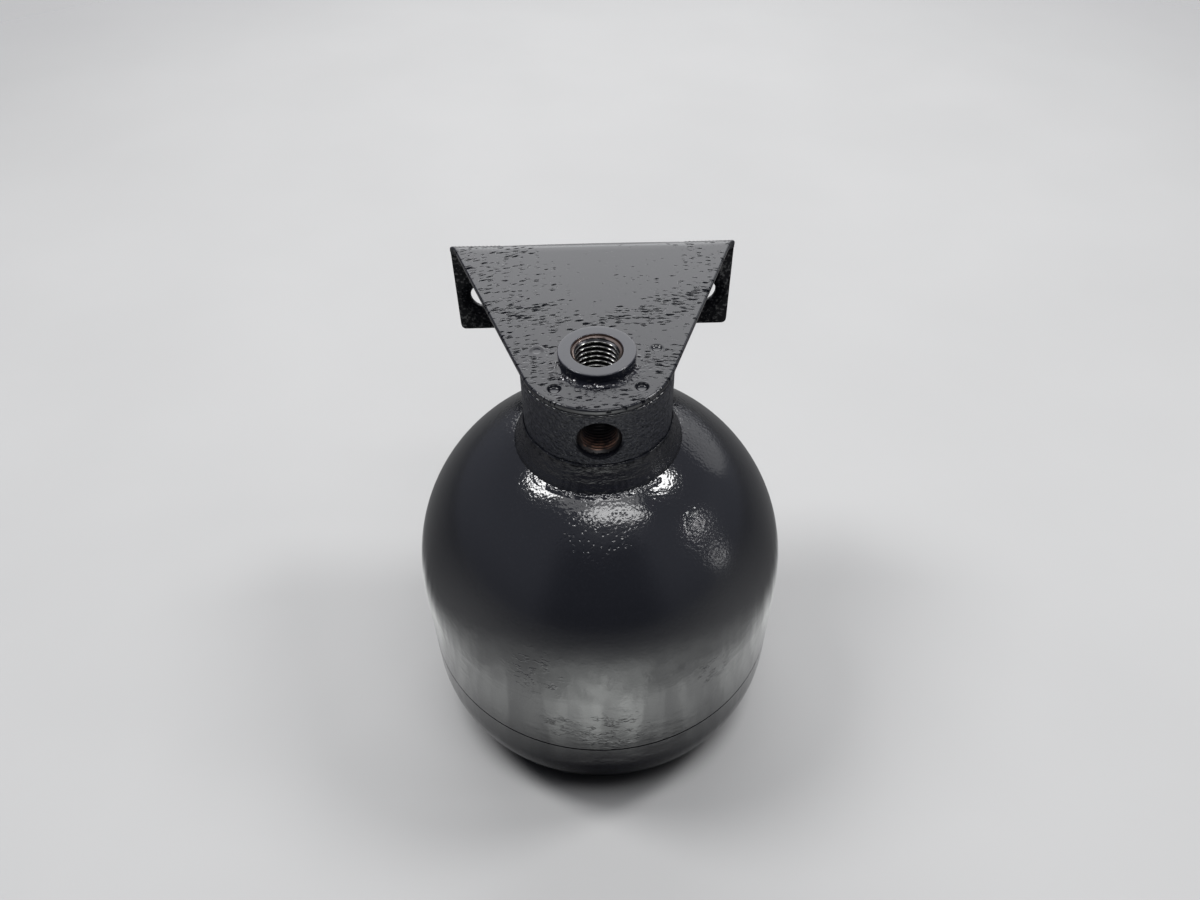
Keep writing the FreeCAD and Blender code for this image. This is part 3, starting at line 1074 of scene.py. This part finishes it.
@dataclass
class Bracket:
    """The bent sheet: tapering plate, bolt flange, dimples, and the paint that fills its gaps."""

    bend_y: float = 50.7 * MM
    bend_inner: float = 2.0 * MM
    bend_relief: float = 2.2 * MM
    lean: float = math.radians(20.5)
    half_width: float = 40.9 * MM
    flange_bottom: float = -20.2 * MM
    hole_radius: float = 10.5 * MM
    corner: float = 1.6 * MM
    edge: float = 0.55 * MM
    bolt_x: float = 32.5 * MM
    bolt_z: float = -8.2 * MM
    bolt_radius: float = 4.25 * MM
    bolt_flare: float = 0.25 * MM
    seat_radius: float = 7.0 * MM
    seat_depth: float = 0.2 * MM
    weld_circle: float = 15.2 * MM
    weld_angles: Pair = (43.0, 102.5)
    dimples: tuple[Pair, ...] = (
        (1.75 * MM, 0.7 * MM), (1.75 * MM, 0.7 * MM), (1.25 * MM, 0.12 * MM), (1.5 * MM, 0.5 * MM)
    )
    columns: int = 760
    rings: int = 40
    roll_inner: float = 9.57 * MM
    roll_foot: float = 8.6 * MM
    roll_columns: int = 420
    blobs: int = 90
    seam_columns: int = 480

    def bend_length(self) -> float:
        """Length of the bend, measured in the middle of the sheet."""
        return (self.bend_inner + SHEET / 2) * math.pi / 2

    def outline(self) -> tuple[np.ndarray, np.ndarray]:
        """The flat pattern's outline.

        It is an arc about the boss, two sides tangent to it, and the flange's ends and lower edge
        laid flat behind the bend.

        Returns:
            Points spread evenly along it, and its outward normals.
        """
        turns = np.linspace(self.lean - math.pi / 2, math.pi / 2 - self.lean, 140)
        arc = np.stack([np.sin(turns), -np.cos(turns)], axis=-1) * NECK_RADIUS
        at_bend = NECK_RADIUS / math.cos(self.lean) + self.bend_y * math.tan(self.lean)
        flange = PLATE_BOTTOM - self.bend_inner - self.flange_bottom
        end = self.bend_y + self.bend_length() + flange
        turns = np.linspace(0, math.pi / 2, 9)[:, None]
        inmost = np.array([self.half_width, end]) - self.corner
        right = np.vstack([
            [[at_bend, self.bend_y], [self.half_width, self.bend_y + self.bend_relief]],
            inmost + self.corner * np.hstack([np.cos(turns), np.sin(turns)]),
        ])
        run = np.vstack([arc, right, right[::-1] * [-1, 1], arc[:1]])
        length = np.concatenate([[0], np.cumsum(np.linalg.norm(np.diff(run, axis=0), axis=1))])
        even = np.linspace(0, length[-1], self.columns + 1)[:-1]
        points = np.stack([np.interp(even, length, run[:, i]) for i in (0, 1)], axis=-1)
        along = np.roll(points, -2, axis=0) - np.roll(points, 2, axis=0)
        along /= np.linalg.norm(along, axis=1)[:, None]
        return points, np.stack([along[:, 1], -along[:, 0]], axis=-1)

    def bent(self, flat: np.ndarray, lift: float) -> np.ndarray:
        """Bend the flat pattern: a stretch turns about the bend's axis, and the rest hangs down.

        Args:
            flat: Points (x, distance back) of the flat pattern.
            lift: Their height over the sheet's lower face.

        Returns:
            Points in space.
        """
        x, back = flat[..., 0], flat[..., 1]
        turn = np.clip((back - self.bend_y) / self.bend_length(), 0, 1) * math.pi / 2
        reach = self.bend_inner + lift
        down = np.maximum(back - self.bend_y - self.bend_length(), 0)
        y = np.minimum(back, self.bend_y) + reach * np.sin(turn)
        z = PLATE_BOTTOM - self.bend_inner + reach * np.cos(turn) - down
        return np.stack([x, y, z], axis=-1)

    def dimple_places(self) -> list[Pair]:
        """Centres of the punched dimples.

        Returns:
            Their places across and back.
        """
        return [
            (side * self.weld_circle * math.sin(turn), -self.weld_circle * math.cos(turn))
            for turn in map(math.radians, self.weld_angles) for side in (-1, 1)
        ]

    def dimple_cutter(self, place: Pair, radius: float, depth: float) -> Piece:
        """One dimple's space: a rounded mouth, a steep wall and a bowl, turned about its axis.

        Args:
            place: Its middle.
            radius: Its radius.
            depth: Its depth.

        Returns:
            The space as a solid.
        """
        wall = [(0.68, -0.72), (0.82, -0.3), (0.92, -0.08), (1, 0)]
        bowl = np.array([(0, -1), (0.45, -0.94), *wall])
        mouth = [(radius * 1.3, 0.3 * MM), (0.0, 0.3 * MM)]
        profile = np.vstack([bowl * (radius, depth), mouth])
        points = turned(profile[:, 0], profile[:, 1] + PLATE_BOTTOM + SHEET, 48)
        return surface("dimple_cutter", points + (*place, 0.0))

    def section(self) -> np.ndarray:
        """The sheet: a rounded section carried round the outline and back through the hole.

        Outside, the section follows the punched edge: a rolled top corner, a straight band, a small
        ledge and a broken band that leans in. Inside, it runs over the top face to the boss hole,
        down the hole's wall and back along the lower face.

        Returns:
            Points by row and column.
        """
        points, normal = self.outline()
        edge = np.array([(0.32, 0.0), (0.2, 0.08), (0.15, 0.5), (0.12, 0.74), (0.0, 0.82)]) * MM
        turns = np.linspace(math.pi / 2, 0, 6)[:, None]
        roll = np.hstack([1 - np.sin(turns), np.cos(turns) - 1]) * self.edge + (0.0, SHEET)
        wall = [(0.0, SHEET - 0.15 * MM), (0.0, SHEET / 2), (0.0, 0.1 * MM)]
        hole = [(0.12, SHEET), *wall, (0.1, 0.0)]
        inner = points - normal * self.edge
        rim = inner / np.linalg.norm(inner, axis=1)[:, None] * self.hole_radius
        over = (1 - np.linspace(0, 1, self.rings + 1)[1:-1]) ** 1.35
        under = np.linspace(0, 1, 16)[1:-1] ** 1.3
        rows = [(points - normal * inset, lift) for inset, lift in (*edge, *roll)]
        rows += [(rim + (inner - rim) * part, SHEET) for part in over]
        rows += [(rim * (1 + step * MM / self.hole_radius), lift) for step, lift in hole]
        rows += [(rim + (inner - rim) * part, 0.0) for part in under]
        return np.stack([self.bent(flat, lift) for flat, lift in rows])

    def bolt_cutter(self, side: int) -> Piece:
        """One bolt hole's space: a flared hole with a shallow seat in front, carried round +Y.

        Args:
            side: -1 at the left and 1 at the right.

        Returns:
            The space as a solid.
        """
        front = self.bend_y + self.bend_inner
        back = front + SHEET
        seat = front + self.seat_depth
        flared = self.bolt_radius + self.bolt_flare
        profile = np.array([
            (0.0, front - 1 * MM),
            (self.seat_radius, front - 1 * MM),
            (self.seat_radius, front + self.seat_depth * 0.6),
            (self.seat_radius - 0.3 * MM, seat),
            (flared, seat),
            (self.bolt_radius, seat + self.bolt_flare),
            (self.bolt_radius, back - self.bolt_flare),
            (flared, back),
            (flared + 1 * MM, back + 1 * MM),
            (0.0, back + 1 * MM),
        ])
        points = turned(profile[:, 0], profile[:, 1], 72)[..., [0, 2, 1]] * (1, 1, -1)
        return surface("bolt_hole_cutter", points + (side * self.bolt_x, 0.0, self.bolt_z))

    def boss_roll(self) -> Piece:
        """The roll of paint that fills the gap round the boss, lumpy in front.

        Its section falls from the boss to the plate as a quarter wave, and seeded round blobs, more
        of them at the front, stand over it. Each blob is a bell curve of its distance.

        Returns:
            The piece.
        """
        angle = turn_angles(self.roll_columns)
        front = np.clip((np.cos(angle) + 0.4) / 1.4, 0, 1)
        gap = self.hole_radius - self.roll_inner
        reach = gap + 0.3 * MM + front * (0.9 * MM + lumps(angle, 12, 22, 0.25 * MM))
        share = np.linspace(1, 0, 15)[:, None]
        radius = self.roll_inner + reach * share
        height = (0.08 * MM + front * 0.2 * MM) * np.cos(share * math.pi / 2)
        dice = np.random.default_rng(5)
        for _ in range(self.blobs):
            middle = dice.normal(0.0, 0.85)
            out = self.roll_inner + dice.uniform(0.2, 1.6) * MM
            size = dice.uniform(0.3, 0.6) * MM
            turn = (angle - middle + math.pi) % (2 * math.pi) - math.pi
            away = ((turn * out) ** 2 + (radius - out) ** 2) / size**2
            bell = dice.uniform(0.15, 0.5) * MM * np.exp(-away) * (1 - share**4)
            height = np.maximum(height, bell)
        top = PLATE_BOTTOM + SHEET - 0.03 * MM + height
        radii = grid(self.roll_columns, self.roll_inner, self.hole_radius - 0.1 * MM, radius)
        heights = grid(self.roll_columns, self.roll_foot, self.roll_foot, top)
        return surface("paint_roll_boss", turned(radii, heights, self.roll_columns), wrap_rows=True)

    def plate_seam(self) -> Piece:
        """The bead of paint between plate and neck: a thin round section with uneven sag.

        Returns:
            The piece.
        """
        angle = turn_angles(self.seam_columns)
        swell = 0.2 * MM + np.abs(lumps(angle, 21, 34, 0.06 * MM))
        drop = np.abs(lumps(angle, 22, 26, 0.1 * MM))
        ring = np.linspace(0, 2 * math.pi, 11)[:-1, None]
        radius = NECK_RADIUS - 0.28 * MM + swell * np.cos(ring) * 1.25
        height = PLATE_BOTTOM - 0.12 * MM - drop + (swell + drop) * np.sin(ring)
        points = turned(radius, height, self.seam_columns)
        return surface("paint_seam_plate", points, wrap_rows=True)

    def build(self) -> None:
        """Make the sheet and its paint, and dress them."""
        piece = surface("bracket_sheet", self.section(), wrap_rows=True)
        places = self.dimple_places()
        cutters = [self.bolt_cutter(side) for side in (-1, 1)]
        cutters += [self.dimple_cutter(place, *size) for place, size in zip(places, self.dimples)]
        cut(piece, cutters)
        finish(piece, 50, PlateEnamel(dimples=tuple(places)).material())
        settle(piece, "mounting_bracket")
        peel = {"peel_grain": 0.7, "peel_depth": 0.03 * MM}
        glossy = Enamel("pooled_enamel", roughness=(0.08, 0.2), **peel).material()
        for extra in (self.boss_roll(), self.plate_seam()):
            finish(extra, 60, glossy)
            settle(extra)


@dataclass
class Shells:
    """The two drawn halves, the weld fillet under the neck, and the ring weld at the seam."""

    radius: float = 52.75 * MM
    fillet_top: float = -7.85 * MM
    toe_radius: float = 22.1 * MM
    root_radius: float = 15.0 * MM
    root_top: float = -11.5 * MM
    root_depth: float = 1.4 * MM
    hollow: float = 0.35 * MM
    ripple: float = 0.04 * MM
    columns: int = 480

    def dome(self, radius: np.ndarray | float) -> np.ndarray | float:
        """Height of the dome at a distance from the axis."""
        return DOME_CENTRE + np.sqrt(self.radius**2 - radius**2)

    def fillet(self) -> Piece:
        """The weld fillet: a shallow curve from the neck to the dome, with ripples and a soft toe.

        Between its ends the curve hollows by a half wave, and seeded waves make the toe wander.

        Returns:
            The piece.
        """
        angle = turn_angles(self.columns)
        toe = self.toe_radius + lumps(angle, 31, 90, 0.035 * MM)
        toe_z = self.dome(toe)
        top = self.fillet_top + lumps(angle, 32, 24, 0.03 * MM)
        share = np.linspace(0, 1, 25)[:-2, None]
        bulge = self.ripple * np.sin(math.pi * 5 * share) - self.hollow * np.sin(math.pi * share)
        slope = (toe_z - top) / (toe - NECK_RADIUS)
        size = np.sqrt(1 + slope**2)
        radius = toe + (NECK_RADIUS - toe) * share - bulge * slope / size
        height = toe_z + (top - toe_z) * share + bulge / size
        lip = [(0.5, -0.5), (0.42, -0.22), (0.25, -0.1), (0.08, -0.25), (-0.15, -0.8)]
        out, up = np.hsplit(np.array(lip) * MM, 2)
        inner = self.root_radius
        under = self.dome(14.0 * MM) - self.root_depth
        radii = grid(self.columns, inner, toe - 0.5 * MM, radius, NECK_RADIUS + out, inner)
        heights = grid(self.columns, under, toe_z - 0.6 * MM, height, top + up, self.root_top)
        return surface("weld_fillet", turned(radii, heights, self.columns), wrap_rows=True)

    def build(self) -> None:
        """Make the fillet and dress it and the CAD nodes that stay."""
        piece = self.fillet()
        finish(piece, 40, FilletEnamel().material())
        settle(piece, "neck_weld_bead")
        names = ["upper_shell", "lower_shell", "girth_weld", "gas_fill_bush"]
        for row in ("front", "rear"):
            names += [f"projection_weld_{row}_{side}" for side in ("left", "right")]
        dress_nodes(ShellEnamel().material(), *names)


@dataclass
class GasSide:
    """What the vessel holds: rubber bell, clamp ring, closing button, filling screw and seal."""

    wall: float = 2.0 * MM
    outer: float = 49.45 * MM
    step: float = -84.36 * MM
    crown: float = -20.52 * MM
    hub_radius: float = 12.0 * MM
    hub_height: float = 5.0 * MM
    stem_radius: float = 3.05 * MM
    bead_height: float = 4.2 * MM
    lip_radius: float = 46.3 * MM
    columns: int = 240

    def bell(self) -> Piece:
        """The rubber bell: a bead, an even wall along the shell, and a thick hub with a hole.

        Its wall lies between two quarter ellipses: radius = a cos(turn), height = centre + b
        sin(turn).

        Returns:
            The piece.
        """
        turns = np.linspace(0, math.pi / 2, 40)[:, None]
        quarter = np.hstack([np.cos(turns), np.sin(turns)])
        size = np.array([self.outer, self.crown - DOME_CENTRE])
        outside = quarter * size + (0.0, DOME_CENTRE)
        inside = quarter * (size - self.wall) + (0.0, DOME_CENTRE)
        bottom = self.crown - self.hub_height
        hub = np.array([(-1.2, 0.0), (-0.3, 0.4), (0.0, 1.2), (0.5, 2.0)]) * MM
        top = self.step + self.bead_height
        run = np.vstack([
            outside[outside[:, 0] > self.stem_radius],
            [(self.stem_radius, self.crown), (self.stem_radius, bottom)],
            hub + (self.hub_radius, bottom),
            inside[inside[:, 0] > self.hub_radius + 1.5 * MM][::-1],
            [(self.outer - self.wall, top)],
            [(self.lip_radius + 0.7 * MM, top), (self.lip_radius + 0.2 * MM, top - 0.5 * MM)],
            [(self.lip_radius + 0.1 * MM, self.step), (self.outer, self.step)],
        ])
        return surface("rubber_bell", turned(run[:, 0], run[:, 1], self.columns), wrap_rows=True)

    def build(self) -> None:
        """Make the bell, bake its place into its mesh, and dress the rest."""
        rubber = MouldedRubber().material()
        piece = self.bell()
        finish(piece, 40, rubber)
        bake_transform(piece)
        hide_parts("diaphragm")
        log.info("%s: %d faces between the bodies", piece.name, len(piece.data.polygons))
        dress_nodes(rubber, "fill_screw_seal")
        steel = TurnedSteel().material()
        dress_nodes(steel, "diaphragm_clamp_ring", "closing_button", "gas_fill_screw")


def aimed(turn: float, rise: float, slant: float) -> Matrix:
    """Turn of a camera or lamp that looks at the object.

    Args:
        turn: Direction that it looks from, 0 in front and a quarter turn at the right.
        rise: Height that it looks from, over the horizon.
        slant: Turn about its own line of sight.

    Returns:
        The rotation.
    """
    upright = Matrix.Rotation(turn, 4, "Z") @ Matrix.Rotation(math.pi / 2 - rise, 4, "X")
    return upright @ Matrix.Rotation(slant, 4, "Z")


@dataclass
class Softbox:
    """A soft oval lamp that the camera doesn't see.

    Attributes:
        name: The lamp's name.
        azimuth: Direction from the object, 0 in front and 90 at the right, in degrees.
        elevation: Height over the horizon, in degrees.
        distance: Distance from the object, in metres.
        size: Width and height, in metres.
        radiance: How bright its face is, where 1 is white.
        slant: Turn of its face about the line to the object, in degrees.
    """

    name: str
    azimuth: float
    elevation: float
    distance: float
    size: Pair
    radiance: float
    slant: float = 0.0

    def build(self) -> None:
        """Make the lamp, turned to the object."""
        data = bpy.data.lights.new(self.name, "AREA")
        data.shape = "ELLIPSE"
        data.size, data.size_y = self.size
        data.energy = math.pi * data.size * data.size_y * self.radiance
        piece = linked(bpy.data.objects.new(self.name, data))
        facing = aimed(*map(math.radians, (self.azimuth, self.elevation, self.slant)))
        away = Matrix.Translation((0.0, 0.0, self.distance))
        piece.matrix_world = Matrix.Translation(LAMP_TARGET) @ facing @ away
        piece.visible_camera = False


@dataclass
class Studio:
    """Camera, floor, lamps and world."""

    place: Point = (-0.0025, -0.1717, 0.1487)
    pitch: float = 0.782
    yaw: float = -0.017
    roll: float = -0.014
    sensor: float = 36.0
    clip: Pair = (0.005, 20.0)
    floor_radius: float = 3.0
    floor_level: float = 0.45
    floor_end: Pair = (0.5, 1.05)
    # Radii in millimetres where the painted shadow round the vessel's foot begins and where it is
    # full.
    painted_contact_shadow: Pair = (53, 41)
    world_level: float = 0.12
    backdrop_level: float = 0.55
    glow_radius: float = 2.9
    lamps: tuple[Softbox, ...] = (
        Softbox("back_softbox", 180, 28, 1.0, (1.2, 1.04), 1.84),
        Softbox("left_softbox", -99, 60, 1.0, (0.42, 0.23), 20.0, 60.0),
        Softbox("front_softbox", 24, 68, 1.0, (0.68, 0.15), 8.5, -20.0),
        Softbox("ceiling_softbox", 0, 80, 1.0, (0.9, 0.3), 1.5),
        Softbox("right_softbox", 101, 55, 1.0, (0.3, 0.2), 22.0, 120.0),
        Softbox("right_window", 79, 29, 1.2, (0.15, 0.08), 22.0),
        Softbox("right_low_window", 77, 6, 1.2, (0.16, 0.15), 5.0),
        Softbox("rear_right_card", 138, 16, 1.2, (0.9, 0.6), 0.6),
    )

    def camera(self) -> None:
        """The photograph's view: focal length, place and turn as fitted to the object's edges."""
        data = bpy.data.cameras.new("photo_camera")
        data.sensor_fit = "HORIZONTAL"
        data.sensor_width = self.sensor
        data.lens = self.sensor * PHOTO_FOCAL / PHOTO_WIDTH
        data.clip_start, data.clip_end = self.clip
        piece = linked(bpy.data.objects.new("photo_camera", data))
        facing = aimed(self.yaw, self.pitch, self.roll)
        piece.matrix_world = Matrix.Translation(self.place) @ facing
        bpy.context.scene.camera = piece

    def floor(self) -> None:
        """A plain pale floor: a flat disc, faintly cloudy, with a painted shadow round the vessel's
        foot, clear from below and far away.
        """
        radius = np.array([self.floor_radius, 0.0])
        piece = surface("floor", turned(radius, np.full(2, FLOOR_Z), 96))
        nodes = Nodes("floor_finish")
        level = self.floor_level
        clouds = nodes.noise(120, 4.0)
        colour = nodes.mix(clouds, tone(level * 0.95, 0.0), tone(level * 1.05, 0.0))
        # Painted shadow: the floor's colour goes nearly black under and round the vessel's foot.
        painted_contact_shadow = nodes.from_axis.span(*self.painted_contact_shadow) * 0.97
        colour = nodes.mix(painted_contact_shadow, colour, tone(level * 0.04, 0.0))
        even = self.matt(nodes, {"Base Color": colour})
        clear = nodes.add("BsdfTransparent")
        below = nodes.add("NewGeometry", out="Backfacing")
        unseen = below.most(nodes.from_axis.step(*self.floor_end))
        nodes.add_output(nodes.add("MixShader", {0: unseen, 1: even, 2: clear}))
        dress(piece, nodes.material)

    def floor_glow(self) -> None:
        """The floor that the body mirrors: a card that only reflections see.

        It is a dark glass near the object in front, and beside and behind it. The glass in front is
        painted shade: the object's shadow on the floor, as the reflections see it. Its light is an
        even part that fades in from the shadow and out to an edge, far in front and nearer at the
        sides, by the fourth power of the squared cosine of half the angle, and a bright part in
        front, in soft spokes.
        """
        radius = np.array([self.glow_radius, 1.4, 0.7, 0.4, 0.2, 0.1, 0.04])
        piece = surface("floor_glow", turned(radius, np.full(len(radius), FLOOR_Z + 0.5 * MM), 120))
        nodes = Nodes("floor_glow_light")
        x, y, _ = nodes.parts
        far = nodes.from_axis
        facing = 0.5 - y / far * 0.5
        wide = facing ** 4.0
        across = (far - 40 * MM) / (wide * (450 * MM) + 75 * MM)
        round_axis = nodes.vector(x / far, y / far, far * 4.0)
        spokes = nodes.noise(300, at=round_axis).step(0.28, 0.68) * 0.44 + 0.66
        rays = nodes.noise(120, 1.0, at=round_axis).step(0.28, 0.7) * 0.5 + 0.72
        # Painted shade: the dark glass near the object in front, its shadow on the floor as
        # reflections see it.
        near = (facing ** 5.0) * far.span(84, 64)
        beside = facing.step(0.8, 0.34) * far.span(85, 130)
        even = (wide * 0.3 + 0.4) * far.span(60, 78) * across.step(1.0, 0.35)
        lobe = (facing ** 20.0) * 1.85 * far.span(70, 94) * far.span(300, 155)
        level = (even * (1.0 - near) * (1.0 - beside * 0.5) + lobe) * spokes * rays
        light = self.shining(nodes, nodes.vector(level * 0.98, level * 1.01, level * 0.98))
        faded = wide * far.step(0.35, 0.9)
        left_over = (1.0 - near * 0.94) * (1.0 - beside * 0.68) * (1.0 - faded * 0.4)
        black = nodes.add("BsdfDiffuse", {"Color": tone(0.0)})
        glass = nodes.add("MixShader", {0: left_over, 1: black, 2: nodes.add("BsdfTransparent")})
        nodes.add_output(nodes.add("AddShader", {0: light, 1: glass}))
        self.show_in_reflections(piece, nodes.material)

    def room_glow(self) -> None:
        """The room that the body mirrors: a dome that only reflections see, dark in front."""
        rise = np.linspace(math.pi / 2, 0.0, 16)
        radius, height = self.glow_radius * np.cos(rise), self.glow_radius * np.sin(rise)
        piece = surface("room_glow", turned(radius, FLOOR_Z + height, 64))
        nodes = Nodes("room_light")
        _, y, z = nodes.parts
        slope = z / nodes.from_axis
        front = (y / nodes.from_axis).step(-0.72, -0.93) * slope.step(1.5, 0.9)
        level = (slope.step(-0.04, 0.4) * 0.11 + 0.31) * (1.0 - front * 0.62)
        nodes.add_output(self.shining(nodes, nodes.vector(level * 0.94, level * 0.97, level * 1.1)))
        self.show_in_reflections(piece, nodes.material)

    def matt(self, nodes: Nodes, inputs: dict) -> Socket:
        """A surface without gloss."""
        return nodes.add("BsdfPrincipled", {**inputs, "Roughness": 1.0, "Specular IOR Level": 0.0})

    def shining(self, nodes: Nodes, colour: Socket) -> Socket:
        """A black surface that gives off a colour."""
        light = {"Emission Color": colour, "Emission Strength": 1.0}
        return self.matt(nodes, {"Base Color": tone(0.0), **light})

    def show_in_reflections(self, piece: Piece, material: Material) -> None:
        """Dress a card of the studio that nothing but reflections sees.

        Args:
            piece: The card.
            material: Its light.
        """
        material.cycles.emission_sampling = "NONE"
        dress(piece, material)
        for ray in ("camera", "diffuse", "shadow", "transmission", "volume_scatter"):
            setattr(piece, f"visible_{ray}", False)

    def world(self) -> None:
        """An even grey room for light, and a pale backdrop for the camera."""
        nodes = Nodes("room", world=True)
        rays = ("Is Camera Ray", "Is Glossy Ray", "Is Transmission Ray")
        seen = reduce(Socket.most, (nodes.add("LightPath", out=ray) for ray in rays))
        colour = nodes.mix(seen, tone(self.world_level, 0.12), tone(self.backdrop_level, 0.02))
        nodes.add_output(nodes.add("Background", {"Color": colour}))
        bpy.context.scene.world = nodes.material

    def build(self) -> None:
        """Make all of it."""
        self.camera()
        self.floor()
        self.floor_glow()
        self.room_glow()
        self.world()
        for lamp in self.lamps:
            lamp.build()
        bpy.context.scene.view_settings.view_transform = "Standard"


def main() -> None:
    """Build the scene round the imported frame."""
    logging.basicConfig(level=logging.INFO, format="%(message)s")
    Studio().build()
    for part in (TurnedBlock(), Bracket(), Shells(), GasSide()):
        part.build()


if __name__ == "__main__":
    main()
